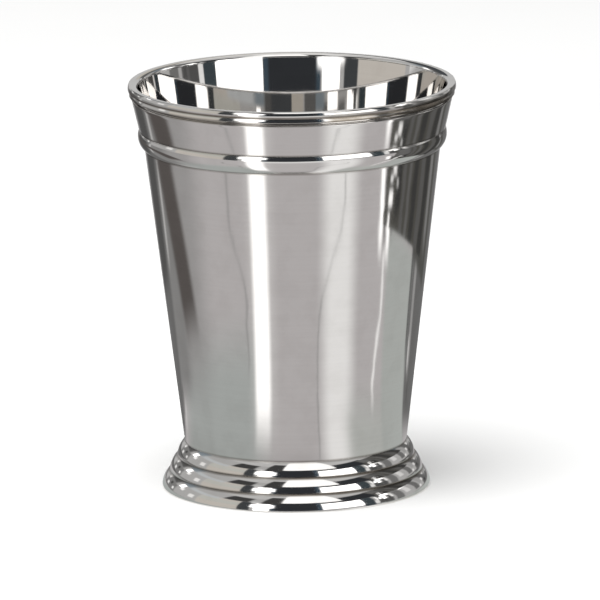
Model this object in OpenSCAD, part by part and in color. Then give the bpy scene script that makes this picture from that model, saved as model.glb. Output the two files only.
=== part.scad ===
// Julep cup: a tapered metal beaker with a flared lip, a rim moulding, a collar bead and a reeded foot.
// Every piece is a turned ring or disc about the Z axis. The cup stands on z = 0.

/* [Cup] */
// Height from the table to the crown of the rim
cup_height = 108; // [96:0.5:130]
// Outside radius of the wall where it enters the foot
base_radius = 29.3; // [24:0.1:34]
// Outside radius of the wall where the lip starts to flare
shoulder_radius = 38.65; // [34:0.05:46]
// Thickness of the wall's sheet
wall = 0.9; // [0.6:0.05:1.4]
// Height of the lower end of the wall above the table
wall_end = 4; // [2.5:0.1:5]

/* [Lip] */
// Height of the flare, from its start to the top edge of the wall
flare_height = 17.8; // [15:0.1:24]
// How far the wall turns outward over the flare, in degrees
flare_turn = 4.2; // [2:0.1:8]
// Depth of the wall's top edge below the crown of the rim
edge_drop = 1.2; // [1.1:0.05:1.4]
// Width of the roll that crowns the rim
roll_width = 2.4; // [2.2:0.1:3]
// Height of the rim's upper reed, from the crown down to the groove
upper_height = 1.6; // [1.3:0.05:1.9]
// How far the upper reed's lower edge stands out from the middle of the roll
upper_stand = 1.3; // [1.1:0.02:1.6]
// How far the upper reed leans in from its lower edge to the crown
upper_lean = 0.23; // [0.1:0.01:0.4]
// How far the face of the upper reed bows out
upper_bow = 0.14; // [0.05:0.01:0.3]
// Height of the rim's lower reed
lower_height = 1.3; // [1:0.05:1.7]
// How far the lower reed's lower edge stands out from the middle of the roll
lower_stand = 1; // [0.8:0.01:1.2]
// How far the lower reed leans in from its lower edge to the groove
lower_lean = 0.32; // [0.15:0.01:0.45]
// How far the face of the lower reed bows out
lower_bow = 0.06; // [0.03:0.01:0.2]
// Height of the groove between the rim moulding and the lip band
rim_gap = 0.8; // [0.3:0.05:1.4]
// Thickness of the lip band at its lower edge
band_low = 0.7; // [0.3:0.05:1.2]
// Thickness of the lip band at its upper edge
band_high = 1.2; // [0.4:0.05:1.5]

/* [Collar] */
// Distance from the crown of the rim down to the top of the collar bead
collar_drop = 12.1; // [9:0.1:16]
// Height of the collar bead
bead_height = 5; // [3:0.1:6]
// How far the bead bows out
bead_bow = 0.9; // [0.4:0.05:1.5]

/* [Foot] */
// Height of each of the three reeds
reed_height = 3.95; // [3.2:0.05:5]
// How far each reed steps out from the one above it
reed_step = 2.05; // [1.2:0.05:2.8]
// How far the face of a reed bows out
reed_bow = 0.4; // [0.2:0.05:0.8]
// Thickness of the lower reeds at their edges
reed_edge = 0.9; // [0.5:0.05:1.3]
// Height of the lowest reed's rounded underside
foot_rise = 0.4; // [0.1:0.05:0.8]
// Depth of the collet's neck round the wall
neck_depth = 2.5; // [1.5:0.1:3.2]
// Width of the collet's standing edge
stand_width = 1.4; // [0.8:0.1:2.2]

/* [Floor] */
// Height of the cup's floor above the table
floor_height = 7; // [5.5:0.1:9]
// Thickness of the floor pan
pan = 1; // [0.6:0.05:1.4]

/* [Hidden] */
// Film of solder between two pieces
solder = 0.05;
$fn = 180;

// Heights up the cup
reed_count = 3;
foot_top = foot_rise + reed_count * reed_height;
edge_z = cup_height - edge_drop;
flare_z = edge_z - flare_height;
collar_z = cup_height - collar_drop;
bead_z = collar_z - bead_height;
neck_top = foot_top - reed_height;

// The wall's taper below the flare, and the arc that the flare follows about its centre
base_slope = atan((shoulder_radius - base_radius) / (flare_z - foot_top));
rim_slope = base_slope + flare_turn;
flare_radius = flare_height / (sin(rim_slope) - sin(base_slope));
shoulder = [shoulder_radius, flare_z];
flare_centre = shoulder + flare_radius * outward(base_slope);
flare_steps = 10;

// The roll lies on the wall's top edge, flush with its inner face
wall_top = flare_point(flare_steps, 0);
roll_radius = roll_width / 2;
roll_base = wall_top + (roll_radius - wall) * outward(rim_slope);
roll_centre = roll_base + (cup_height - roll_radius - roll_base.y) / cos(rim_slope) * upward(rim_slope);

// Lower and upper edges of the rim's two reeds
groove_z = cup_height - upper_height;
moulding_z = groove_z - lower_height;
upper_low = [roll_centre.x + upper_stand, groove_z];
upper_high = [roll_centre.x + upper_stand - upper_lean, cup_height];
lower_low = [roll_centre.x + lower_stand, moulding_z];
lower_high = [roll_centre.x + lower_stand - lower_lean, groove_z];

// Outer edges of the lip band, at the collar bead and under the groove
band_z = moulding_z - rim_gap;
band_start = [wall_out(collar_z) + band_low, collar_z];
band_stop = [wall_out(band_z) + band_high, band_z];

// Unit normal out of a face that leans outward by this angle
function outward(slope) = [cos(slope), -sin(slope)];
// Unit direction up a face that leans outward by this angle
function upward(slope) = [sin(slope), cos(slope)];

// Point on the flare, counted in steps up from the shoulder, at a distance out from the wall's outer face
function flare_point(step, out) =
    flare_centre - (flare_radius - out) * outward(base_slope + flare_turn * step / flare_steps);

// Outside radius of the wall at a height
function wall_out(z) = z < flare_z
    ? base_radius + (z - foot_top) * tan(base_slope)
    : flare_centre.x - sqrt(pow(flare_radius, 2) - pow(z - flare_centre.y, 2));
// Inside radius of the tapered part of the wall at a height
function wall_in(z) = wall_out(z) - wall / cos(base_slope);

// Radius and centre of the arc that bows out by this much between two points, the lower one first
function bow_radius(low, high, bow) = (pow(norm(high - low) / 2, 2) + pow(bow, 2)) / (2 * bow);
function bow_centre(low, high, bow) =
    let (chord = (high - low) / norm(high - low), across = [chord.y, -chord.x])
    (low + high) / 2 - (bow_radius(low, high, bow) - bow) * across;

// Lower and upper edge of a reed's face, counted up from the table
function reed_point(level) =
    [wall_out(foot_top) + (reed_count - level) * reed_step, foot_rise + level * reed_height];
// Radius of the collet's outer face at a height, behind the lower reeds
function collet_out(z) = reed_point(0).x - reed_edge - (z - foot_rise) * reed_step / reed_height;

// Half section that is spun about the Z axis
module spin() {
    rotate_extrude() children();
}

// A disc at a place in the half section
module disc_at(centre, radius) {
    translate(centre) circle(r = radius);
}

// All that lies within the outer face of the wall, with a film of solder on the face and on the top edge
module inside_wall() {
    corner = wall_top + solder * (outward(rim_slope) + upward(rim_slope));
    polygon(concat(
        [[0, 0], [wall_out(0) + solder / cos(base_slope), 0]],
        [for (step = [0:flare_steps]) flare_point(step, solder)],
        [corner, [0, corner.y + corner.x * tan(rim_slope)]]
    ));
}

// Sheet wall: straight taper below, flared lip above
module cup_wall() {
    color("silver") spin() polygon(concat(
        [[wall_in(wall_end), wall_end], [wall_out(wall_end), wall_end]],
        [for (step = [0:flare_steps]) flare_point(step, 0)],
        [for (step = [flare_steps:-1:0]) flare_point(step, -wall)]
    ));
}

// Bottom of the cup: a disc with a flange turned down inside the wall
module floor_pan() {
    underside = floor_height - pan;
    color("gainsboro") spin() polygon([
        [0, underside],
        [wall_in(underside) - solder - pan, underside],
        [wall_in(wall_end) - solder - pan, wall_end],
        [wall_in(wall_end) - solder, wall_end],
        [wall_in(floor_height) - solder, floor_height],
        [0, floor_height]
    ]);
}

// Plain strip round the flared lip, from the collar bead up to the groove under the rim moulding
module lip_band() {
    color("silver") spin() difference() {
        polygon([[base_radius, collar_z], band_start, band_stop, [base_radius, band_z]]);
        inside_wall();
    }
}

// Low half-round bead under the lip band
module collar_bead() {
    low = [wall_out(bead_z), bead_z];
    color("silver") spin() difference() {
        disc_at(bow_centre(low, band_start, bead_bow), bow_radius(low, band_start, bead_bow));
        inside_wall();
        translate([0, collar_z - solder]) square([band_start.x + bead_height, bead_height]);
    }
}

// A bowed face between two points of the half section, filled inward as far as a radius
module bowed_strip(low, high, bow, inner) {
    intersection() {
        disc_at(bow_centre(low, high, bow), bow_radius(low, high, bow));
        translate([inner, low.y]) square([low.x + bow - inner, high.y - low.y]);
    }
}

// Moulding that drops over the top edge of the wall: a roll inside, and two reeds outside
module rim_moulding() {
    color("silver") spin() difference() {
        union() {
            intersection() {
                disc_at(roll_centre, roll_radius);
                square([roll_centre.x, cup_height]);
            }
            bowed_strip(upper_low, upper_high, upper_bow, roll_centre.x);
            bowed_strip(lower_low, lower_high, lower_bow, roll_centre.x - roll_radius);
        }
        inside_wall();
    }
}

// Flared ring that the cup stands on: a neck round the wall, and a slope that carries the lower reeds
module foot_collet() {
    neck_low = neck_top - neck_depth;
    side = solder / cos(base_slope);
    color("gainsboro") spin() polygon([
        [collet_out(0) - stand_width, 0],
        [collet_out(0), 0],
        [collet_out(neck_top), neck_top],
        [wall_out(neck_top) + side, neck_top],
        [wall_out(neck_low) + side, neck_low]
    ]);
}

// Section of one reed: a bowed face, with flat seats above and below, counted up from the table
module reed_section(level) {
    low = reed_point(level);
    high = reed_point(level + 1);
    bottom = level == 0 ? 0 : low.y + solder;
    intersection() {
        disc_at(bow_centre(low, high, reed_bow), bow_radius(low, high, reed_bow));
        translate([0, bottom]) square([low.x + reed_step, high.y - bottom]);
    }
}

// Reed that closes the foot against the wall, seated on the collet's neck
module foot_reed_upper() {
    color("silver") spin() difference() {
        reed_section(2);
        inside_wall();
    }
}

// Reed seated on the collet's slope
module slope_reed(level) {
    spin() difference() {
        reed_section(level);
        polygon([
            [0, 0],
            [collet_out(0) + solder, 0],
            [collet_out(foot_top) + solder, foot_top],
            [0, foot_top]
        ]);
    }
}

module foot_reed_middle() {
    color("silver") slope_reed(1);
}

module foot_reed_lower() {
    color("silver") slope_reed(0);
}

cup_wall();
floor_pan();
lip_band();
collar_bead();
rim_moulding();
foot_collet();
foot_reed_upper();
foot_reed_middle();
foot_reed_lower();
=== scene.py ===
"""Julep cup: nine turned metal pieces on a pale studio floor, built as a Blender add-on."""

import math

import bmesh
import bpy
from mathutils import Matrix, Vector


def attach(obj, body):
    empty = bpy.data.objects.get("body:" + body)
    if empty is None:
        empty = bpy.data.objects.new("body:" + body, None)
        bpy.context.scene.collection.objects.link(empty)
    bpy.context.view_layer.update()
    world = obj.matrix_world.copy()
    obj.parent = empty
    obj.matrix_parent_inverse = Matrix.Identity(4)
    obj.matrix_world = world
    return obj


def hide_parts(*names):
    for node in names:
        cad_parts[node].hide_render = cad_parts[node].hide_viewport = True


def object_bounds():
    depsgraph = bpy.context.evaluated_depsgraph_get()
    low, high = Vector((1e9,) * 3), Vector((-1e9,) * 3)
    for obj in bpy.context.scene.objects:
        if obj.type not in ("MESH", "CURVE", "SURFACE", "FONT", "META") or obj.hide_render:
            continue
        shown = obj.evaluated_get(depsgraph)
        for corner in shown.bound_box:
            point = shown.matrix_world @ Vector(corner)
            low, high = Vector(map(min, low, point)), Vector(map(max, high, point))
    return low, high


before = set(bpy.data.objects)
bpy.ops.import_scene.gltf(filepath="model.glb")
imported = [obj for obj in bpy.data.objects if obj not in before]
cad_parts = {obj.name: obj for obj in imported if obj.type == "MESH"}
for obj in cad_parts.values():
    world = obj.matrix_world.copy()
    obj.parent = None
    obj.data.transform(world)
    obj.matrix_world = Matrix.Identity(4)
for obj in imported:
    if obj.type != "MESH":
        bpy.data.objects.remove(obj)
CAD_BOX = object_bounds()

bl_info = {
    "name": "Julep Cup",
    "version": (1, 0, 0),
    "blender": (4, 5, 0),
    "location": "View3D > Sidebar > Julep Cup",
    "description": "Builds a polished julep cup piece by piece, with its studio",
    "category": "Add Mesh",
}

MM = 0.001
BODY = "root"
REEDS = 3

# Fineness of the turned meshes
SEGMENTS = 288
FLARE_ROWS = 24
TAPER_ROWS = 8
BAND_ROWS = 8
BOW_ROWS = 28
SEAT_ROWS = 6
ROLL_ROWS = 30
CORNER_ROWS = 5
HALVINGS = 60

# Film of solder between two pieces, and roundings of their edges
FILM = 0.05 * MM
CRISP = 0.05 * MM
FINE = 0.1 * MM
SMOOTH = 0.15 * MM


# Sizes and colours


def length(label, description, millimetres):
    """A size in metres, given here in millimetres."""
    return bpy.props.FloatProperty(
        name=label, description=description, default=millimetres * MM, min=0.0, unit="LENGTH", precision=5)


def colour(label, description, rgb):
    """A colour, as linear red, green and blue."""
    return bpy.props.FloatVectorProperty(
        name=label, description=description, default=rgb, size=3, min=0.0, max=4.0, subtype="COLOR")


def share(label, description, value):
    """A plain number from none to all."""
    return bpy.props.FloatProperty(
        name=label, description=description, default=value, min=0.0, max=1.0, subtype="FACTOR")


def angle(label, description, degrees):
    """An angle, given here in degrees."""
    return bpy.props.FloatProperty(
        name=label, description=description, default=math.radians(degrees), subtype="ANGLE")


class JulepCupSizes(bpy.types.PropertyGroup):
    """Sizes of the cup's pieces"""
    cup_height: length("Height", "From the table to the crown of the rim", CAD_BOX[1][2] / MM)
    base_radius: length("Base radius", "Outside of the wall where it enters the foot", 29.3)
    shoulder_radius: length("Shoulder radius", "Outside of the wall where the lip starts to flare", 38.65)
    wall: length("Wall", "Thickness of the wall's sheet", 0.9)
    wall_end: length("Wall end", "Height of the wall's lower end", 4.0)
    flare_height: length("Flare height", "From the start of the flare to the wall's top edge", 17.8)
    flare_turn: angle("Flare turn", "How far the wall turns outward over the flare", 4.2)
    edge_drop: length("Edge drop", "Depth of the wall's top edge below the crown of the rim", 1.2)
    roll_width: length("Roll width", "Width of the roll that crowns the rim", 2.4)
    upper_height: length("Upper reed", "Height of the rim's upper reed", 1.6)
    upper_stand: length("Upper stand", "From the roll's middle out to the upper reed's lower edge", 1.3)
    upper_lean: length("Upper lean", "How far the upper reed leans in up to the crown", 0.23)
    upper_bow: length("Upper bow", "How far the face of the upper reed bows out", 0.14)
    lower_height: length("Lower reed", "Height of the rim's lower reed", 1.3)
    lower_stand: length("Lower stand", "From the roll's middle out to the lower reed's lower edge", 1.0)
    lower_lean: length("Lower lean", "How far the lower reed leans in up to the groove", 0.32)
    lower_bow: length("Lower bow", "How far the face of the lower reed bows out", 0.06)
    rim_gap: length("Rim gap", "Height of the groove between the rim moulding and the lip band", 0.8)
    band_low: length("Band, low", "Thickness of the lip band at its lower edge", 0.7)
    band_high: length("Band, high", "Thickness of the lip band at its upper edge", 1.2)
    collar_drop: length("Collar drop", "From the crown of the rim to the top of the collar bead", 12.1)
    bead_height: length("Bead height", "Height of the collar bead", 5.0)
    bead_bow: length("Bead bow", "How far the bead bows out", 0.9)
    reed_height: length("Reed height", "Height of each of the foot's reeds", 3.95)
    reed_step: length("Reed step", "How far each reed steps out from the one above", 2.05)
    reed_bow: length("Reed bow", "How far the face of a reed bows out", 0.4)
    reed_edge: length("Reed edge", "Thickness of the lower reeds at their edges", 0.9)
    foot_rise: length("Foot rise", "Height of the lowest reed's rounded underside", 0.4)
    neck_depth: length("Neck depth", "Depth of the collet's neck round the wall", 2.5)
    stand_width: length("Stand width", "Width of the collet's standing edge", 1.4)
    floor_height: length("Floor height", "Height of the cup's floor", 7.0)
    pan: length("Pan", "Thickness of the floor pan", 1.0)


class JulepCupFinish(bpy.types.PropertyGroup):
    """Colours and polish of the metal"""
    wall_metal: colour("Wall metal", "Polished sheet", (0.735, 0.718, 0.7))
    moulding_metal: colour("Moulding metal", "Bright mouldings", (0.76, 0.744, 0.725))
    base_metal: colour("Base metal", "Turned satin base", (0.66, 0.648, 0.63))
    # Colour of the dark film: patina in the joints, and painted shade in the reed grooves and on the rim's
    # lower reed
    tarnish_and_shade: colour("Tarnish", "Dull film in the joints", (0.2, 0.175, 0.145))
    wall_rough: share("Wall roughness", "Polish of the wall outside", 0.07)
    inside_rough: share("Inside roughness", "Polish of the wall inside", 0.025)
    moulding_rough: share("Moulding roughness", "Polish of the mouldings", 0.055)
    base_rough: share("Base roughness", "Satin of the turned base", 0.27)


class JulepCupStage(bpy.types.PropertyGroup):
    """Floor, light and camera"""
    floor_colour: colour("Floor", "Plain pale floor", (0.84, 0.84, 0.835))
    world_level: share("World", "Even light from all round", 0.62)
    lamp_power: bpy.props.FloatProperty(
        name="Soft box", description="Power of the overhead soft box", default=26.0, min=0.0, unit="POWER")
    eye_distance: length("Camera distance", "From the camera to the middle of the cup", 3000.0)
    eye_height: angle("Camera height", "Angle of the camera above the table", 11.804)
    eye_roll: angle("Camera roll", "Tilt of the camera", 0.636)
    lens: bpy.props.FloatProperty(
        name="Lens", description="Focal length", default=682.9, min=1.0, unit="CAMERA")


# Shape of the half section


class CupSection:
    """The half section of the cup, as radius and height, from its sizes."""

    def __init__(self, s):
        self.s = s
        self.foot_top = s.foot_rise + REEDS * s.reed_height
        self.flare_z = s.cup_height - s.edge_drop - s.flare_height
        self.collar_z = s.cup_height - s.collar_drop
        self.bead_z = self.collar_z - s.bead_height
        self.neck_top = self.foot_top - s.reed_height
        self.base_slope = math.atan((s.shoulder_radius - s.base_radius) / (self.flare_z - self.foot_top))
        self.rim_slope = self.base_slope + s.flare_turn
        self.flare_radius = s.flare_height / (math.sin(self.rim_slope) - math.sin(self.base_slope))
        shoulder = Vector((s.shoulder_radius, self.flare_z))
        self.flare_centre = shoulder + self.flare_radius * self.outward(self.base_slope)
        self.wall_top = self.flare_point(1.0, 0.0)
        self.roll_radius = s.roll_width / 2
        roll_base = self.wall_top + (self.roll_radius - s.wall) * self.outward(self.rim_slope)
        lift = (s.cup_height - self.roll_radius - roll_base.y) / math.cos(self.rim_slope)
        self.roll_centre = roll_base + lift * self.upward(self.rim_slope)
        self.groove_z = s.cup_height - s.upper_height
        self.moulding_z = self.groove_z - s.lower_height
        middle = self.roll_centre.x
        self.upper_low = Vector((middle + s.upper_stand, self.groove_z))
        self.upper_high = Vector((middle + s.upper_stand - s.upper_lean, s.cup_height))
        self.lower_low = Vector((middle + s.lower_stand, self.moulding_z))
        self.lower_high = Vector((middle + s.lower_stand - s.lower_lean, self.groove_z))
        band_z = self.moulding_z - s.rim_gap
        self.band_start = Vector((self.wall_out(self.collar_z) + s.band_low, self.collar_z))
        self.band_stop = Vector((self.wall_out(band_z) + s.band_high, band_z))

    @staticmethod
    def outward(slope):
        """Normal out of a face that leans outward by this angle."""
        return Vector((math.cos(slope), -math.sin(slope)))

    @staticmethod
    def upward(slope):
        """Direction up a face that leans outward by this angle."""
        return Vector((math.sin(slope), math.cos(slope)))

    def flare_point(self, part, out):
        """Point on the flare, from 0 at the shoulder to 1 at the edge, this far out from the outer face."""
        slope = self.base_slope + self.s.flare_turn * part
        return self.flare_centre - (self.flare_radius - out) * self.outward(slope)

    def wall_out(self, z):
        """Outside radius of the wall at a height."""
        if z < self.flare_z:
            return self.s.base_radius + (z - self.foot_top) * math.tan(self.base_slope)
        drop = z - self.flare_centre.y
        return self.flare_centre.x - math.sqrt(self.flare_radius ** 2 - drop ** 2)

    def wall_in(self, z):
        """Inside radius of the tapered part of the wall at a height."""
        return self.wall_out(z) - self.s.wall / math.cos(self.base_slope)

    def seat_point(self, z):
        """Point on the film of solder that covers the wall, at a height."""
        return Vector((self.wall_out(z) + FILM, z))

    def reed_point(self, level):
        """Lower edge of a reed's face, counted up from the table."""
        s = self.s
        return Vector((s.base_radius + (REEDS - level) * s.reed_step, s.foot_rise + level * s.reed_height))

    def collet_out(self, z):
        """Radius of the collet's slope at a height."""
        s = self.s
        return self.reed_point(0).x - s.reed_edge - (z - s.foot_rise) * s.reed_step / s.reed_height


def bow_arc(low, high, bow, bottom, top):
    """Arc that bows out by this much between two points, carried down to bottom and up to top."""
    half = (high - low).length / 2
    radius = (half ** 2 + bow ** 2) / (2 * bow)
    chord = (high - low).normalized()
    centre = (low + high) / 2 - (radius - bow) * Vector((chord.y, -chord.x))
    start = math.asin((bottom - centre.y) / radius)
    stop = math.asin((top - centre.y) / radius)
    return arc(centre, radius, start, stop, BOW_ROWS)


def on_circle(centre, radius, turn):
    """Point of a circle at an angle."""
    return centre + radius * Vector((math.cos(turn), math.sin(turn)))


def arc(centre, radius, start, stop, rows):
    """Points on an arc, from one angle to another."""
    return [on_circle(centre, radius, start + (stop - start) * k / rows) for k in range(rows + 1)]


def crossing(function, low, high):
    """Where a function changes sign between two values."""
    if function(low) * function(high) > 0:
        raise RuntimeError("two faces of the section don't meet")
    for _ in range(HALVINGS):
        middle = (low + high) / 2
        if function(low) * function(middle) > 0:
            low = middle
        else:
            high = middle
    return (low + high) / 2


def eased(corners):
    """Closed outline from (point, rounding) pairs: each rounded corner is turned in a small arc.

    A guard ring on either side of the arc keeps long faces flat under smooth shading."""
    most_of_side = 0.4
    guard_reach = 1.8
    long_side = 5
    outline = []
    count = len(corners)
    for index, (point, rounding) in enumerate(corners):
        before = corners[index - 1][0] - point
        after = corners[(index + 1) % count][0] - point
        if not rounding:
            outline.append(point)
            continue
        turn = math.pi - before.angle(after)
        room = most_of_side * min(before.length, after.length)
        reach = min(rounding * math.tan(turn / 2), room)
        entry = point + reach * before.normalized()
        leave = point + reach * after.normalized()
        if before.length > long_side * reach:
            outline.append(point + guard_reach * reach * before.normalized())
        for row in range(CORNER_ROWS + 1):
            t = row / CORNER_ROWS
            outline.append(entry * (1 - t) ** 2 + point * (2 * t * (1 - t)) + leave * t ** 2)
        if after.length > long_side * reach:
            outline.append(point + guard_reach * reach * after.normalized())
    return outline


def plain(points):
    """Points of an outline that aren't rounded."""
    return [(point, 0.0) for point in points]


# Turned pieces


def turned(name, outline):
    """A closed half section spun about the Z axis into one smooth solid."""
    mesh = bpy.data.meshes.new(name)
    bm = bmesh.new()
    turns = [2 * math.pi * k / SEGMENTS for k in range(SEGMENTS)]
    rings = []
    for radius, z in outline:
        if radius < 0.5 * FILM:
            rings.append([bm.verts.new((0.0, 0.0, z))] * SEGMENTS)
        else:
            rings.append([bm.verts.new((radius * math.sin(t), -radius * math.cos(t), z)) for t in turns])
    for lower, upper in zip(rings, rings[1:] + rings[:1]):
        for k in range(SEGMENTS):
            n = (k + 1) % SEGMENTS
            corner = []
            for vert in (lower[k], lower[n], upper[n], upper[k]):
                if vert not in corner:
                    corner.append(vert)
            if len(corner) > 2:
                bm.faces.new(corner).smooth = True
    bmesh.ops.recalc_face_normals(bm, faces=bm.faces)
    bm.to_mesh(mesh)
    bm.free()
    piece = bpy.data.objects.new(name, mesh)
    bpy.context.scene.collection.objects.link(piece)
    return piece


def place(piece, node, slot, material):
    """Gives a piece its finish and sets it on the frame in the place of its node."""
    piece.data.materials.append(material)
    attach(piece, BODY)
    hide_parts(node)


# Finishes


class Value:
    """One socket of a finish, so that shader maths reads as plain sums."""

    def __init__(self, finish, socket):
        self.finish = finish
        self.socket = socket

    def __add__(self, other):
        return self.finish.maths("ADD", self, other)

    def __radd__(self, other):
        return self.finish.maths("ADD", other, self)

    def __sub__(self, other):
        return self.finish.maths("SUBTRACT", self, other)

    def __rsub__(self, other):
        return self.finish.maths("SUBTRACT", other, self)

    def __mul__(self, other):
        return self.finish.maths("MULTIPLY", self, other)

    def __rmul__(self, other):
        return self.finish.maths("MULTIPLY", other, self)

    def __abs__(self):
        return self.finish.maths("ABSOLUTE", self)


class Finish:
    """The nodes of one material or world."""

    def __init__(self, owner):
        owner.use_nodes = True
        self.tree = owner.node_tree
        self.tree.nodes.clear()

    def node(self, kind, settings, sockets, out=0):
        """A node of this type, with its settings made first, then the values or links of its sockets."""
        made = self.tree.nodes.new(kind)
        for key, value in settings.items():
            setattr(made, key, value)
        for key, value in sockets.items():
            if isinstance(value, Value):
                self.tree.links.new(value.socket, made.inputs[key])
            else:
                made.inputs[key].default_value = value
        return Value(self, made.outputs[out]) if made.outputs else made

    def maths(self, operation, *values):
        """A Math node on its values."""
        return self.node("ShaderNodeMath", {"operation": operation}, dict(enumerate(values)))

    def mix(self, factor, first, second):
        """Two colours blended."""
        return self.node("ShaderNodeMix", {"data_type": "RGBA"}, {0: factor, 6: first, 7: second}, 2)

    def soft(self, value, start, stop):
        """From 0 at start to 1 at stop, eased."""
        sockets = {"Value": value, "From Min": start, "From Max": stop}
        return self.node("ShaderNodeMapRange", {"interpolation_type": "SMOOTHSTEP"}, sockets)

    def noise(self, place, stretch, scale, detail, roughness=0.5):
        """Noise in metres, stretched along each axis."""
        mapped = self.node("ShaderNodeMapping", {}, {"Vector": place, "Scale": stretch})
        sockets = {"Vector": mapped, "Scale": scale, "Detail": detail, "Roughness": roughness}
        return self.node("ShaderNodeTexNoise", {"normalize": True}, sockets)

    def axes(self, place):
        """The three coordinates of a place."""
        first = self.node("ShaderNodeSeparateXYZ", {}, {0: place})
        return [Value(self, out) for out in first.socket.node.outputs]

    def slope(self, rise, run):
        """The angle of a slope, in degrees."""
        return self.maths("ARCTAN2", rise, run) * math.degrees(1.0)

    def turn(self, x, y):
        """Degrees round the cup from the camera's side."""
        return self.slope(x, -1.0 * y)

    def away(self, x, y):
        """Distance from the cup's axis."""
        return self.maths("SQRT", x * x + y * y)

    def show(self, shader):
        """Puts a shader on the surface."""
        self.node("ShaderNodeOutputMaterial", {}, {"Surface": shader})


EVEN = (1.0, 1.0, 1.0)


def opaque(rgb):
    """A colour with full alpha."""
    return (*rgb, 1.0)


def metal(name, rgb, rough, inside, tarnish_and_shade, joints, dull_patches_and_painted_shade, rings, waves, satin):
    """Turned metal: ring marks, slow waves, wiped smudges, and a dark film of patina and painted shade in its
    joints and patches.

    rough is the polish of faces that look outward, and inside that of the others. joints are the heights
    where the dark film gathers, as patina and painted shade, with its reach and depth.
    dull_patches_and_painted_shade are darker, duller patches, painted shade on the rim: middle and half of
    the angle, low and high end, fade at the top, and depth. rings is the depth of the ring marks and waves
    that of the slow waves, in metres, and satin is how far the polish varies."""
    material = bpy.data.materials.new(name)
    f = Finish(material)
    place = f.node("ShaderNodeTexCoord", {}, {}, "Object")
    x, y, height = f.axes(place)
    across, along, _ = f.axes(f.node("ShaderNodeTexCoord", {}, {}, "Normal"))
    # 1 on faces that look away from the cup's axis, 0 on those that look at it or up and down
    outer = f.soft(x * across + y * along, 0.0, 4.0 * MM)
    marks = f.noise(place, stretch=(14.0, 14.0, 1800.0), scale=1.0, detail=3.0, roughness=0.6)
    fine = f.noise(place, stretch=(30.0, 30.0, 7000.0), scale=1.0, detail=2.0)
    wipes = f.noise(place, stretch=(1.0, 1.0, 1.6), scale=55.0, detail=4.0, roughness=0.6)
    cloud = f.noise(place, stretch=(1.0, 1.0, 0.7), scale=24.0, detail=3.0)
    film = f.soft(f.noise(place, EVEN, scale=160.0, detail=3.0), 0.42, 0.7) * 0.06
    # Dark film along the joints: patina, and painted shade in the grooves between the reeds
    for z, reach, depth in joints:
        near = f.soft(abs(height - z), reach, 0.15 * reach)
        film = film + outer * near * (0.45 + 0.55 * f.soft(cloud, 0.3, 0.6)) * depth
    turn = f.turn(x, y)
    edge = 3.0
    # Darker, duller patches; on the rim they are painted shade
    for middle, half, low, high, fade, depth in dull_patches_and_painted_shade:
        patch = f.soft(abs(turn - middle), half + edge, half - edge) * f.soft(height, low, low + FINE)
        film = film + patch * f.soft(height, high, high - fade) * 2.0 * wipes * depth
    dark, pale = [opaque([part * c for c in rgb]) for part in (0.99, 1.008)]
    tone = f.mix(f.soft(marks, 0.3, 0.7), dark, pale)
    base = f.mix(f.maths("MINIMUM", film, 1.0), tone, opaque(tarnish_and_shade))
    polish = inside + (rough - inside) * outer
    uneven = 0.5 * f.soft(wipes, 0.35, 0.75) + 0.5 * f.soft(marks, 0.35, 0.75)
    dull = polish + satin * uneven + 0.16 * film
    relief = waves * cloud + rings * (0.7 * marks + 0.3 * fine)
    bump = f.node("ShaderNodeBump", {}, {"Strength": 1.0, "Distance": 1.0, "Height": relief})
    sockets = {"Base Color": base, "Metallic": 1.0, "Roughness": dull, "Normal": bump}
    f.show(f.node("ShaderNodeBsdfPrincipled", {}, sockets))
    return material


def joint_heights(section):
    """Heights of the soldered joints on the outside: (height, reach, depth of the dark film of patina and
    painted shade).
    """
    outside = [section.bead_z, section.collar_z, section.band_stop.y, section.moulding_z, section.foot_top]
    reeds = [section.groove_z] + [section.reed_point(level).y for level in (1, 2)]
    thin, heavy = (0.55 * MM, 0.55), (0.6 * MM, 0.95)
    return [(z, *thin) for z in outside] + [(z, *heavy) for z in reeds]


def wall_finish(context):
    """Polished sheet of the wall and the lip band."""
    cup = context.scene.julep_cup_finish
    name = "wall_sheet_finish"
    c = CupSection(context.scene.julep_cup_sizes)
    # Darker, duller patches on the left and front just above the foot, fading out upward
    high, fade = c.foot_top + 9.0 * MM, 8.0 * MM
    low = [(-64.0, 18.0, c.foot_top, high, fade, 0.16), (-20.0, 30.0, c.foot_top, high, fade, 0.05)]
    return bpy.data.materials.get(name) or metal(
        name, cup.wall_metal, cup.wall_rough, cup.inside_rough, cup.tarnish_and_shade, joint_heights(c), low,
        rings=5.0e-8, waves=2.4e-5, satin=0.02)


def moulding_finish(context):
    """Bright mouldings: rim, bead and reeds."""
    cup = context.scene.julep_cup_finish
    name = "bright_moulding_finish"
    c = CupSection(context.scene.julep_cup_sizes)
    # Painted shade: the rim's lower reed and the foot of its upper reed darkened between 12 and 74 degrees
    # round from the camera's side
    middle, half = 43.0, 31.0
    rim = [(middle, half, c.moulding_z - FILM, c.groove_z, FINE, 0.85),
           (middle, half, c.groove_z, c.groove_z + 1.3 * MM, FINE, 0.4)]
    return bpy.data.materials.get(name) or metal(
        name, cup.moulding_metal, cup.moulding_rough, cup.inside_rough, cup.tarnish_and_shade, joint_heights(c), rim,
        rings=1.0e-7, waves=1.0e-5, satin=0.02)


def base_finish(context):
    """Satin turned base: the floor pan and the collet."""
    cup = context.scene.julep_cup_finish
    name = "satin_base_finish"
    return bpy.data.materials.get(name) or metal(
        name, cup.base_metal, cup.base_rough, cup.base_rough, cup.tarnish_and_shade, [], [],
        rings=1.2e-6, waves=1.0e-5, satin=0.14)


# Operators, one for each piece and one for the three reeds of the foot


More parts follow.
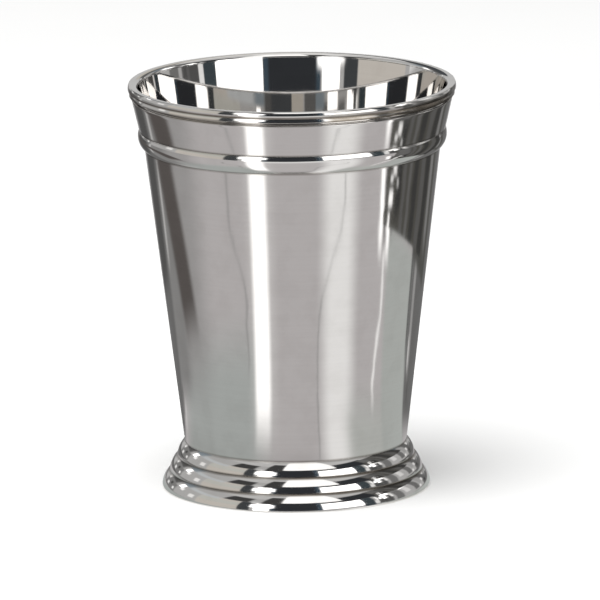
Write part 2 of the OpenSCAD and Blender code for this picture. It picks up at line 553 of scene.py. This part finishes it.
class JULEPCUP_OT_wall(bpy.types.Operator):
    """Spin the tapered sheet wall with its flared lip"""
    bl_idname = "julep_cup.wall"
    bl_label = "Cup Wall"

    def execute(self, context):
        s = context.scene.julep_cup_sizes
        c = CupSection(s)
        rows = [k / FLARE_ROWS for k in range(FLARE_ROWS)]
        taper = [c.foot_top + (c.flare_z - c.foot_top) * k / TAPER_ROWS for k in range(TAPER_ROWS)]
        outside = [Vector((c.wall_out(z), z)) for z in taper] + [c.flare_point(t, 0.0) for t in rows]
        inside = [c.flare_point(t, -s.wall) for t in reversed(rows)]
        lower = [Vector((c.wall_in(z), z)) for z in reversed(taper)]
        outline = eased(
            [(Vector((c.wall_in(s.wall_end), s.wall_end)), FINE)]
            + [(Vector((c.wall_out(s.wall_end), s.wall_end)), FINE)]
            + plain(outside)
            + [(c.wall_top, CRISP), (c.flare_point(1.0, -s.wall), CRISP)]
            + plain(inside + lower))
        place(turned("cup_wall_sheet", outline), "cup_wall", "polished_wall", wall_finish(context))
        return {"FINISHED"}


class JULEPCUP_OT_floor_pan(bpy.types.Operator):
    """Turn the floor pan with its flange"""
    bl_idname = "julep_cup.floor_pan"
    bl_label = "Floor Pan"

    def execute(self, context):
        s = context.scene.julep_cup_sizes
        c = CupSection(s)
        under = s.floor_height - s.pan
        bend = 0.6 * MM
        outline = eased([
            (Vector((0.0, under)), 0.0),
            (Vector((c.wall_in(under) - FILM - s.pan, under)), bend),
            (Vector((c.wall_in(s.wall_end) - FILM - s.pan, s.wall_end)), SMOOTH),
            (Vector((c.wall_in(s.wall_end) - FILM, s.wall_end)), SMOOTH),
            (Vector((c.wall_in(s.floor_height) - FILM, s.floor_height)), FINE),
            (Vector((0.0, s.floor_height)), 0.0),
        ])
        place(turned("floor_pan_disc", outline), "floor_pan", "turned_base", base_finish(context))
        return {"FINISHED"}


class JULEPCUP_OT_lip_band(bpy.types.Operator):
    """Turn the plain strip round the lip"""
    bl_idname = "julep_cup.lip_band"
    bl_label = "Lip Band"

    def execute(self, context):
        c = CupSection(context.scene.julep_cup_sizes)
        low, high = c.band_start, c.band_stop
        lower_edge, upper_edge = 0.07 * MM, 0.34 * MM
        rows = [k / BAND_ROWS for k in range(1, BAND_ROWS)]
        face = [low + (high - low) * t for t in rows]
        back = [high.y + (low.y - high.y) * t for t in rows]
        outline = eased(
            [(c.seat_point(low.y), CRISP), (low, lower_edge)] + plain(face)
            + [(high, upper_edge), (c.seat_point(high.y), CRISP)]
            + plain([c.seat_point(z) for z in back]))
        place(turned("lip_band_strip", outline), "lip_band", "polished_wall", wall_finish(context))
        return {"FINISHED"}


class JULEPCUP_OT_collar_bead(bpy.types.Operator):
    """Turn the low half-round bead under the lip band"""
    bl_idname = "julep_cup.collar_bead"
    bl_label = "Collar Bead"

    def execute(self, context):
        s = context.scene.julep_cup_sizes
        c = CupSection(s)
        top = c.collar_z - FILM
        face = bow_arc(c.seat_point(c.bead_z), c.band_start, s.bead_bow, c.bead_z, top)
        heights = [top + (c.bead_z - top) * k / SEAT_ROWS for k in range(1, SEAT_ROWS)]
        outline = eased(
            plain(face[:-1]) + [(face[-1], CRISP), (c.seat_point(top), CRISP)]
            + plain([c.seat_point(z) for z in heights]))
        bead = turned("collar_bead_wire", outline)
        place(bead, "collar_bead", "polished_moulding", moulding_finish(context))
        return {"FINISHED"}


class JULEPCUP_OT_rim_moulding(bpy.types.Operator):
    """Turn the rim moulding: a roll inside over the wall's edge, and two reeds outside"""
    bl_idname = "julep_cup.rim_moulding"
    bl_label = "Rim Moulding"

    def execute(self, context):
        s = context.scene.julep_cup_sizes
        c = CupSection(s)
        lean = c.upward(c.rim_slope)
        low_edge, groove_edge, crown_edge = 0.12 * MM, 0.03 * MM, 0.22 * MM
        low_rows, crown_rows = 3, 6  # rows of a face that its eased edges take up
        crown, past_inside = 0.5 * math.pi, 1.4 * math.pi

        def above_edge(turn):
            """Height of a point of the roll over the film on the wall's top edge."""
            return (on_circle(c.roll_centre, c.roll_radius, turn) - c.wall_top).dot(lean) - FILM

        over = crossing(above_edge, crown, past_inside)
        lower = bow_arc(c.lower_low, c.lower_high, s.lower_bow, c.moulding_z, c.groove_z)
        upper = bow_arc(c.upper_low, c.upper_high, s.upper_bow, c.groove_z, s.cup_height)
        corner = c.wall_top + FILM * (lean + c.outward(c.rim_slope))
        heights = [corner.y + (c.moulding_z - corner.y) * k / SEAT_ROWS for k in range(1, SEAT_ROWS + 1)]
        outline = eased(
            [(lower[0], low_edge)] + plain(lower[low_rows:-1]) + [(lower[-1], groove_edge)]
            + [(upper[0], low_edge)] + plain(upper[low_rows:-crown_rows]) + [(upper[-1], crown_edge)]
            + plain(arc(c.roll_centre, c.roll_radius, crown, over, ROLL_ROWS))
            + plain([corner] + [c.seat_point(z) for z in heights]))
        rim = turned("rim_moulding_wire", outline)
        place(rim, "rim_moulding", "polished_moulding", moulding_finish(context))
        return {"FINISHED"}


class JULEPCUP_OT_foot_collet(bpy.types.Operator):
    """Turn the flared ring that the cup stands on"""
    bl_idname = "julep_cup.foot_collet"
    bl_label = "Foot Collet"

    def execute(self, context):
        s = context.scene.julep_cup_sizes
        c = CupSection(s)
        inner_edge = 0.3 * MM
        outline = eased([
            (Vector((c.collet_out(0.0) - s.stand_width, 0.0)), inner_edge),
            (Vector((c.collet_out(0.0), 0.0)), FINE),
            (Vector((c.collet_out(c.neck_top), c.neck_top)), FINE),
            (c.seat_point(c.neck_top), FINE),
            (c.seat_point(c.neck_top - s.neck_depth), SMOOTH),
        ])
        place(turned("foot_collet_ring", outline), "foot_collet", "turned_base", base_finish(context))
        return {"FINISHED"}


class JULEPCUP_OT_foot_reeds(bpy.types.Operator):
    """Turn the foot's three stepped reeds"""
    bl_idname = "julep_cup.foot_reeds"
    bl_label = "Foot Reeds"

    def execute(self, context):
        s = context.scene.julep_cup_sizes
        c = CupSection(s)
        for level, word in enumerate(("lower", "middle", "upper")):
            low = c.reed_point(level)
            high = c.reed_point(level + 1)
            bottom = low.y + FILM if level else 0.0
            face = bow_arc(low, high, s.reed_bow, bottom, high.y)
            if level == REEDS - 1:
                back = [c.seat_point(z) for z in (high.y, bottom)]
            else:
                back = [Vector((c.collet_out(z) + FILM, z)) for z in (high.y, bottom)]
            outline = eased(
                [(face[0], CRISP)] + plain(face[1:-1]) + [(face[-1], CRISP)]
                + [(point, CRISP) for point in back])
            node = "foot_reed_" + word
            place(turned(node + "_ring", outline), node, "polished_moulding", moulding_finish(context))
        return {"FINISHED"}


# Studio


def lit_panels(f, ground, turn, along, panels):
    """Panels of light and shade laid over a ground colour.

    Each panel is (middle of its angle, half its angle, low, high, softness of the angle and of the other
    way, brightness or colour, strength). Angles are in degrees round the cup from the camera's side."""
    picture = ground
    for middle, half, low, high, soft_turn, soft_along, light, strength in panels:
        apart = f.maths("WRAP", turn - middle, 180.0, -180.0)
        across = f.soft(abs(apart), half + soft_turn, half - soft_turn)
        past_low = f.soft(along, low - soft_along, low + soft_along)
        below_high = f.soft(along, high + soft_along, high - soft_along)
        rgb = light if isinstance(light, tuple) else (light, light, light)
        picture = f.mix(across * (past_low * below_high) * strength, picture, opaque(rgb))
    return picture


def glow(f, picture):
    """Plain light in the colours of a picture."""
    return f.node("ShaderNodeEmission", {}, {"Color": picture, "Strength": 1.0})


def only_reflected(piece):
    """Leaves a stage piece to be seen in the metal alone."""
    piece.visible_camera = False
    piece.visible_diffuse = False
    piece.visible_shadow = False
    piece.visible_transmission = False
    piece.visible_volume_scatter = False


# Sizes of the stage, in metres and degrees
FLOOR_RADII = (0.001 * MM, 0.3, 3.0)
MAT_RADII = (0.036, 0.3, 1.7)
MAT_LIFT = 0.2 * MM
DOME_RADIUS = 1.7
DOME_ROWS = 24
DOME_TOP = 89.95
CARD_RADIUS = 0.1
CARD_HEIGHTS = (0.036, 0.06, 0.104)
CARD_SPAN = (62.0, 125.0)
SHEET_STEPS = 96

# Ground colours that the panels lie on
DOME_GREY = (0.5, 0.5, 0.5)
MAT_GREY = (0.56, 0.541, 0.548)
CARD_GREY = (0.092, 0.09, 0.082)

# Panels of the studio as the cup sees them, in the columns of lit_panels, with elevations in degrees
DOME_PANELS = [
    # Overhead
    (0.0, 180.0, 52.0, 95.0, 2.0, 2.5, 0.62, 1.0),
    (180.0, 42.0, 44.0, 80.0, 5.0, 3.0, 0.9, 1.0),
    (-77.0, 26.0, 66.0, 80.0, 3.0, 2.0, 1.0, 1.0),
    (0.0, 180.0, 76.0, 95.0, 2.0, 2.0, 0.95, 1.0),
    # In front
    (15.0, 30.0, 37.0, 77.0, 0.9, 0.8, 1.4, 1.0),
    (0.0, 22.3, 2.0, 37.5, 0.8, 0.8, (0.055, 0.08, 0.105), 1.0),
    (-0.5, 18.5, 2.0, 37.5, 1.5, 1.0, (0.034, 0.037, 0.042), 1.0),
    (0.0, 24.0, -6.0, 1.5, 4.0, 0.6, 0.75, 1.0),
    # From the left round to the back
    (-74.0, 22.0, -2.0, 34.0, 0.8, 2.0, (0.64, 0.605, 0.56), 1.0),
    (-74.0, 22.0, 15.5, 27.5, 0.8, 2.0, (0.6, 0.602, 0.565), 1.0),
    (-98.0, 22.0, 27.5, 34.0, 4.0, 1.5, (0.6, 0.63, 0.65), 1.0),
    (-60.0, 14.0, 34.0, 51.0, 2.0, 1.6, 0.06, 1.0),
    (-46.5, 5.6, -1.0, 34.0, 0.7, 1.0, (0.06, 0.065, 0.07), 1.0),
    (-24.0, 9.5, 31.2, 63.0, 1.2, 1.5, 0.06, 1.0),
    (-39.5, 3.5, 31.5, 39.0, 0.8, 0.8, 0.66, 1.0),
    (-30.5, 6.8, -3.0, 31.0, 0.7, 0.8, 2.6, 1.0),
    (-30.5, 10.6, 13.9, 27.0, 1.8, 1.2, 2.6, 1.0),
    (-104.0, 3.5, 7.0, 17.0, 0.8, 1.0, 1.0, 1.0),
    (-121.0, 2.6, 14.0, 20.0, 0.8, 1.0, 1.2, 1.0),
    (-126.5, 3.4, 18.0, 27.0, 0.8, 1.0, 2.6, 1.0),
    (-129.0, 9.0, 28.0, 40.0, 5.0, 1.2, (0.28, 0.33, 0.37), 1.0),
    (-142.0, 12.0, -2.0, 16.0, 2.0, 2.0, 0.24, 1.0),
    (-144.0, 8.0, 16.0, 46.0, 3.0, 2.0, 0.12, 1.0),
    (-167.0, 20.0, 16.0, 46.0, 3.0, 2.0, (0.072, 0.078, 0.085), 1.0),
    (-172.0, 8.0, -8.0, 5.0, 2.0, 2.0, 0.28, 1.0),
    # From the right round to the back
    (41.5, 19.0, 5.5, 31.0, 0.6, 0.8, 2.6, 1.0),
    (42.5, 20.0, 31.0, 37.0, 0.8, 0.6, 0.08, 1.0),
    (67.0, 22.0, 31.0, 51.0, 0.9, 1.5, (0.034, 0.037, 0.042), 1.0),
    (98.0, 10.0, 32.0, 47.0, 2.0, 2.0, 0.13, 1.0),
    (66.0, 5.6, -2.0, 32.0, 0.7, 1.5, (0.055, 0.07, 0.08), 1.0),
    (87.0, 5.0, -2.0, 14.0, 1.0, 1.0, 0.13, 1.0),
    (80.0, 4.4, 2.0, 32.0, 0.8, 1.5, 0.1, 1.0),
    (73.4, 2.2, 4.0, 15.0, 0.6, 1.5, 0.95, 1.0),
    (75.3, 1.2, 16.0, 28.0, 0.4, 1.5, 1.3, 1.0),
    (78.8, 1.2, 17.0, 23.0, 0.4, 1.2, 2.6, 1.0),
    (83.0, 1.9, 14.0, 29.0, 0.5, 1.5, 2.6, 1.0),
    (88.0, 3.5, 24.0, 31.0, 0.8, 1.0, 2.6, 1.0),
    (88.6, 1.6, 4.0, 23.0, 0.5, 1.0, 0.1, 1.0),
    (92.3, 1.2, 14.0, 25.0, 0.4, 1.5, 1.1, 1.0),
    (100.5, 5.0, -2.0, 28.0, 1.0, 2.0, 0.2, 1.0),
    (113.0, 3.5, 9.0, 25.0, 0.8, 1.2, 0.8, 1.0),
    (115.5, 8.0, 25.5, 33.0, 0.7, 1.0, 2.6, 1.0),
    (118.0, 12.0, 34.0, 47.0, 2.0, 1.0, 0.17, 1.0),
    (128.0, 4.0, 3.0, 29.0, 1.0, 1.5, 0.18, 1.0),
    (137.0, 8.0, 26.0, 38.0, 3.0, 2.0, (0.26, 0.31, 0.35), 1.0),
    (138.5, 4.0, 8.0, 24.0, 1.5, 2.0, 0.4, 1.0),
    (151.5, 9.0, -2.0, 46.0, 1.2, 2.0, 0.15, 1.0),
    (171.5, 9.2, 16.0, 46.0, 0.5, 2.0, (0.56, 0.53, 0.48), 1.0),
    (172.0, 8.0, -8.0, 5.0, 2.0, 2.0, 0.28, 1.0),
    (180.0, 24.0, 4.0, 17.5, 6.0, 1.0, 0.58, 1.0),
    # Small lumps near the back
    (-134.0, 1.6, 3.0, 8.0, 0.7, 1.0, 1.2, 0.9),
    (-141.0, 1.8, 8.0, 13.0, 0.8, 1.2, 0.05, 0.9),
    (-147.0, 2.0, 2.0, 6.5, 0.8, 1.0, 1.1, 0.9),
    (-152.0, 1.6, 9.0, 14.0, 0.7, 1.2, 1.2, 0.9),
    (134.5, 1.5, 2.0, 6.0, 0.7, 1.0, 1.1, 0.9),
    (143.0, 1.8, 7.0, 12.0, 0.8, 1.2, 1.0, 0.9),
    (148.0, 1.6, 1.0, 5.0, 0.7, 1.0, 0.05, 0.9),
    (153.0, 1.8, 9.0, 14.0, 0.8, 1.2, 1.1, 0.9),
]

# Panels of painted light and shade on the table as the cup sees it, with near and far radii in metres
MAT_PANELS = [
    # Painted shadow of the cup on the table round its foot
    (0.0, 180.0, 0.0, 0.046, 2.0, 0.016, 0.2, 0.85),
    (0.0, 30.0, 0.52, 2.0, 6.0, 0.14, 0.88, 1.0),
    (180.0, 42.0, 0.1, 2.0, 6.0, 0.06, 0.32, 0.8),
    (-72.0, 46.0, 0.0, 0.128, 14.0, 0.03, (0.458, 0.49, 0.482), 0.95),
    (36.0, 12.5, 0.0, 2.0, 7.0, 0.01, 0.98, 1.0),
    (68.0, 24.0, 0.0, 0.088, 8.0, 0.022, (0.535, 0.56, 0.54), 0.85),
    (101.0, 20.0, 0.0, 0.216, 2.5, 0.006, (0.495, 0.522, 0.508), 1.0),
    (-96.0, 16.0, 0.1, 2.0, 14.0, 0.04, 0.34, 0.75),
    (-126.0, 19.0, 0.1, 2.0, 8.0, 0.02, 0.28, 1.0),
    (-147.0, 14.0, 0.06, 2.0, 4.0, 0.02, 0.17, 1.0),
    (-147.0, 10.0, 0.22, 2.0, 3.0, 0.02, 0.1, 1.0),
    (-130.0, 1.8, 0.225, 2.0, 1.0, 0.015, 0.55, 1.0),
    (140.0, 21.5, 0.07, 2.0, 2.5, 0.02, 0.17, 1.0),
    (125.5, 2.5, 0.12, 0.225, 1.2, 0.02, 0.38, 1.0),
    (117.5, 1.5, 0.13, 0.235, 0.8, 0.02, 0.12, 0.9),
    (132.0, 16.0, 0.216, 2.0, 2.5, 0.006, (0.1, 0.1, 0.094), 1.0),
    (139.0, 3.0, 0.25, 2.0, 1.5, 0.02, 0.24, 1.0),
    (123.5, 1.5, 0.121, 0.148, 0.8, 0.008, 0.9, 0.6),
    (128.0, 1.8, 0.092, 0.112, 1.0, 0.006, 0.1, 0.5),
    (-131.5, 2.2, 0.083, 0.11, 1.2, 0.006, 0.1, 0.5),
    (-125.5, 1.6, 0.07, 0.094, 1.0, 0.006, 0.8, 0.5),
]

# Leaning strips of painted light and shade on the table: lean in degrees for each metre out from a middle
# radius, the radius, the panel
MAT_STRIPS = [
    (-2.0, 0.165, (-26.0, 8.5, 0.07, 2.0, 7.0, 0.03, 1.1, 0.3)),
    (-2.0, 0.165, (-26.8, 6.1, 0.076, 2.0, 2.4, 0.026, 1.7, 1.0)),
    (-120.0, 0.21, (-107.5, 9.5, 0.15, 2.0, 3.0, 0.025, (0.115, 0.104, 0.1), 1.0)),
]

# Lines of painted light and shade on the table that bend: angle, bend, the radii it bends between, near and
# far end, half angle, brightness, strength
MAT_LINES = [
    (-39.2, -12.3, 0.15, 0.215, 0.11, 0.3, 0.8, 0.34, 0.75),
    (18.5, 21.5, 0.125, 0.225, 0.05, 0.26, 0.65, 0.34, 0.7),
    (70.0, 7.5, 0.095, 0.165, 0.09, 0.2, 1.2, 1.2, 0.8),
    (73.0, 0.0, 0.1, 0.2, 0.197, 0.4, 1.7, 1.7, 1.0),
    (80.5, 0.0, 0.1, 0.2, 0.196, 0.236, 1.9, 1.7, 1.0),
    (76.7, 0.0, 0.1, 0.2, 0.203, 0.4, 1.0, 0.1, 0.9),
    (84.0, 0.0, 0.1, 0.2, 0.214, 0.4, 1.3, 0.08, 0.9),
]

# Painted stripes of light and shade on the dark card at the cup's side, with low and high ends in metres
CARD_PANELS = [
    (79.0, 2.4, 0.05, 0.11, 1.0, 0.004, 0.045, 0.9),
    (84.5, 1.6, 0.0, 0.11, 0.8, 0.004, 0.14, 0.8),
    (91.0, 1.8, 0.0, 0.11, 1.0, 0.004, 0.17, 0.8),
    (98.0, 3.0, 0.0, 0.11, 1.2, 0.004, 0.05, 0.9),
    (108.0, 3.0, 0.0, 0.11, 1.5, 0.004, 0.13, 0.8),
    (116.0, 4.0, 0.0, 0.11, 1.5, 0.004, 0.05, 0.9),
    (75.0, 6.0, 0.068, 0.11, 2.0, 0.006, 0.17, 0.9),
]

# Painted highlights down the card's near edge
CARD_PAINTED_GLINTS = [
    (71.8, 1.1, 0.046, 0.0505, 0.6, 0.0012, 1.5, 1.0),
    (72.2, 1.4, 0.0525, 0.057, 0.6, 0.0012, 1.6, 1.0),
    (71.8, 1.2, 0.0595, 0.0615, 0.6, 0.001, 1.3, 0.9),
    (74.3, 1.6, 0.0615, 0.0655, 0.7, 0.001, 1.3, 0.9),
    (77.3, 0.8, 0.058, 0.0605, 0.4, 0.001, 0.9, 0.8),
]


class JULEPCUP_OT_stage(bpy.types.Operator):
    """Set the floor, the light, the studio panels and the camera"""
    bl_idname = "julep_cup.stage"
    bl_label = "Stage"

    def execute(self, context):
        stage = context.scene.julep_cup_stage
        self.add_floor(stage)
        self.add_dome()
        self.add_painted_table_reflection()
        self.add_painted_side_reflection()
        self.add_light(context, stage)
        self.add_camera(context, stage)
        context.scene.view_settings.view_transform = "Standard"
        return {"FINISHED"}

    @staticmethod
    def sheet(name, rings, material, first=-180.0, last=180.0):
        """A round sheet or shell from rings of (radius, height), between two angles."""
        mesh = bpy.data.meshes.new(name)
        bm = bmesh.new()
        turns = [math.radians(first + (last - first) * k / SHEET_STEPS) for k in range(SHEET_STEPS + 1)]
        rows = [[bm.verts.new((r * math.sin(t), -r * math.cos(t), z)) for t in turns] for r, z in rings]
        for inner, outer in zip(rows, rows[1:]):
            for k in range(SHEET_STEPS):
                bm.faces.new((inner[k], outer[k], outer[k + 1], inner[k + 1])).smooth = True
        bm.to_mesh(mesh)
        bm.free()
        mesh.materials.append(material)
        piece = bpy.data.objects.new(name, mesh)
        bpy.context.scene.collection.objects.link(piece)
        return piece

    def add_floor(self, stage):
        """The plain pale floor."""
        material = bpy.data.materials.new("pale_floor")
        f = Finish(material)
        place = f.node("ShaderNodeTexCoord", {}, {}, "Object")
        grain = f.soft(f.noise(place, EVEN, scale=9.0, detail=3.0), 0.3, 0.7)
        tone = f.mix(grain, opaque([0.99 * c for c in stage.floor_colour]), opaque(stage.floor_colour))
        sockets = {"Base Color": tone, "Roughness": 0.9, "Specular IOR Level": 0.0}
        f.show(f.node("ShaderNodeBsdfPrincipled", {}, sockets))
        self.sheet("stage_floor", [(radius, 0.0) for radius in FLOOR_RADII], material)

    def add_dome(self):
        """The studio's panels, seen in the metal."""
        material = bpy.data.materials.new("studio_panels")
        f = Finish(material)
        x, y, z = f.axes(f.node("ShaderNodeNewGeometry", {}, {}, "Position"))
        rise = f.slope(z, f.away(x, y))
        f.show(glow(f, lit_panels(f, opaque(DOME_GREY), f.turn(x, y), rise, DOME_PANELS)))
        steps = [math.radians(90.0 * k / DOME_ROWS) for k in range(DOME_ROWS)] + [math.radians(DOME_TOP)]
        rings = [(DOME_RADIUS * math.cos(t), DOME_RADIUS * math.sin(t)) for t in steps]
        only_reflected(self.sheet("stage_dome", rings, material))

    def add_painted_table_reflection(self):
        """Painted reflection of the table near the cup: a glowing sheet seen in the metal alone."""
        material = bpy.data.materials.new("painted_table_reflection")
        f = Finish(material)
        place = f.node("ShaderNodeNewGeometry", {}, {}, "Position")
        x, y, _ = f.axes(place)
        turn, away = f.turn(x, y), f.away(x, y)
        picture = lit_panels(f, opaque(MAT_GREY), turn, away, MAT_PANELS)
        for lean, middle, strip in MAT_STRIPS:
            picture = lit_panels(f, picture, turn - lean * (away - middle), away, [strip])
        ragged = 4.5 * (f.noise(place, EVEN, scale=60.0, detail=2.0) - 0.5)
        end_fade = 0.015
        for start, bend, first, last, near, far, half, light, strength in MAT_LINES:
            bent = turn + ragged - bend * f.soft(away, first, last)
            line = (start, half, near, far, 0.8 * half, end_fade, light, strength)
            picture = lit_panels(f, picture, bent, away, [line])
        f.show(glow(f, picture))
        only_reflected(self.sheet("stage_painted_table_reflection", [(radius, MAT_LIFT) for radius in MAT_RADII], material))

    def add_painted_side_reflection(self):
        """Painted reflection of a dark card near the cup's right side: a glowing sheet seen in the metal
        alone.
        """
        material = bpy.data.materials.new("painted_side_reflection")
        f = Finish(material)
        place = f.node("ShaderNodeNewGeometry", {}, {}, "Position")
        x, y, z = f.axes(place)
        turn = f.turn(x, y) + 4.0 * (f.noise(place, EVEN, scale=130.0, detail=2.0) - 0.5)
        picture = lit_panels(f, opaque(CARD_GREY), turn, z, CARD_PANELS + CARD_PAINTED_GLINTS)
        near_side = f.soft(turn, 66.8, 67.6)
        far_side = f.soft(turn, 121.0, 118.0)
        leaning_foot = f.soft(z + 0.00016 * (turn - 77.0), 0.0452, 0.0462)
        shown = near_side * far_side * leaning_foot
        clear = f.node("ShaderNodeBsdfTransparent", {}, {})
        f.show(f.node("ShaderNodeMixShader", {}, {0: shown, 1: clear, 2: glow(f, picture)}))
        rings = [(CARD_RADIUS, height) for height in CARD_HEIGHTS]
        only_reflected(self.sheet("stage_painted_side_reflection", rings, material, *CARD_SPAN))

    @staticmethod
    def add_light(context, stage):
        """Even light all round, and one soft box overhead."""
        world = bpy.data.worlds.new("studio_light")
        context.scene.world = world
        f = Finish(world)
        level = stage.world_level
        ground = f.node("ShaderNodeBackground", {}, {"Color": opaque((level, level, level)), "Strength": 1.0})
        f.node("ShaderNodeOutputWorld", {}, {"Surface": ground})
        lamp = bpy.data.lights.new("soft_box", "AREA")
        lamp.shape = "DISK"
        lamp.size = 1.4
        lamp.energy = stage.lamp_power
        box = bpy.data.objects.new("soft_box", lamp)
        box.location = (-0.25, -0.35, 1.5)
        target = Vector((0.0, 0.0, 0.05))
        box.rotation_euler = (target - box.location).to_track_quat("-Z", "Y").to_euler()
        box.visible_glossy = False
        context.scene.collection.objects.link(box)

    @staticmethod
    def add_camera(context, stage):
        """The camera at the photograph's angle."""
        middle = Vector((0.0, 0.0, CAD_BOX[1][2] / 2))
        back = Vector((0.0, -math.cos(stage.eye_height), math.sin(stage.eye_height)))
        right = Vector((1.0, 0.0, 0.0))
        up = back.cross(right)
        across = right * math.cos(stage.eye_roll) - up * math.sin(stage.eye_roll)
        upright = up * math.cos(stage.eye_roll) + right * math.sin(stage.eye_roll)
        eye = middle + stage.eye_distance * back
        aim_right, aim_down = 1.560 * MM, 4.448 * MM
        aim = middle + aim_right * across - aim_down * upright
        toward = (aim - eye).normalized()
        across = (across - across.dot(toward) * toward).normalized()
        upright = across.cross(toward)
        camera = bpy.data.cameras.new("camera")
        camera.lens = stage.lens
        camera.sensor_width = 36.0
        camera.clip_end = 20.0
        holder = bpy.data.objects.new("camera", camera)
        holder.matrix_world = Matrix((
            (across.x, upright.x, -toward.x, eye.x),
            (across.y, upright.y, -toward.y, eye.y),
            (across.z, upright.z, -toward.z, eye.z),
            (0.0, 0.0, 0.0, 1.0),
        ))
        context.scene.collection.objects.link(holder)
        context.scene.camera = holder


# Panel and registration


class JULEPCUP_PT_pieces(bpy.types.Panel):
    """Lists the cup's pieces, sizes and finishes"""
    bl_idname = "JULEPCUP_PT_pieces"
    bl_label = "Julep Cup"
    bl_space_type = "VIEW_3D"
    bl_region_type = "UI"
    bl_category = "Julep Cup"

    def draw(self, context):
        for operator in OPERATORS:
            self.layout.operator(operator.bl_idname)
        for name in GROUPS:
            group = getattr(context.scene, name)
            box = self.layout.box()
            for key in group.__annotations__:
                box.prop(group, key)


GROUPS = {
    "julep_cup_sizes": JulepCupSizes,
    "julep_cup_finish": JulepCupFinish,
    "julep_cup_stage": JulepCupStage,
}
OPERATORS = [
    JULEPCUP_OT_wall,
    JULEPCUP_OT_floor_pan,
    JULEPCUP_OT_lip_band,
    JULEPCUP_OT_collar_bead,
    JULEPCUP_OT_rim_moulding,
    JULEPCUP_OT_foot_collet,
    JULEPCUP_OT_foot_reeds,
    JULEPCUP_OT_stage,
]
CLASSES = [*GROUPS.values(), *OPERATORS, JULEPCUP_PT_pieces]


def register():
    """Adds the cup's groups, operators and panel to Blender."""
    for cls in CLASSES:
        bpy.utils.register_class(cls)
    for name, group in GROUPS.items():
        setattr(bpy.types.Scene, name, bpy.props.PointerProperty(type=group))


def unregister():
    """Takes them out again."""
    for name in GROUPS:
        delattr(bpy.types.Scene, name)
    for cls in reversed(CLASSES):
        bpy.utils.unregister_class(cls)


def main():
    """Builds every piece and the stage."""
    register()
    bpy.ops.julep_cup.wall()
    bpy.ops.julep_cup.floor_pan()
    bpy.ops.julep_cup.lip_band()
    bpy.ops.julep_cup.collar_bead()
    bpy.ops.julep_cup.rim_moulding()
    bpy.ops.julep_cup.foot_collet()
    bpy.ops.julep_cup.foot_reeds()
    bpy.ops.julep_cup.stage()


if __name__ == "__main__":
    main()
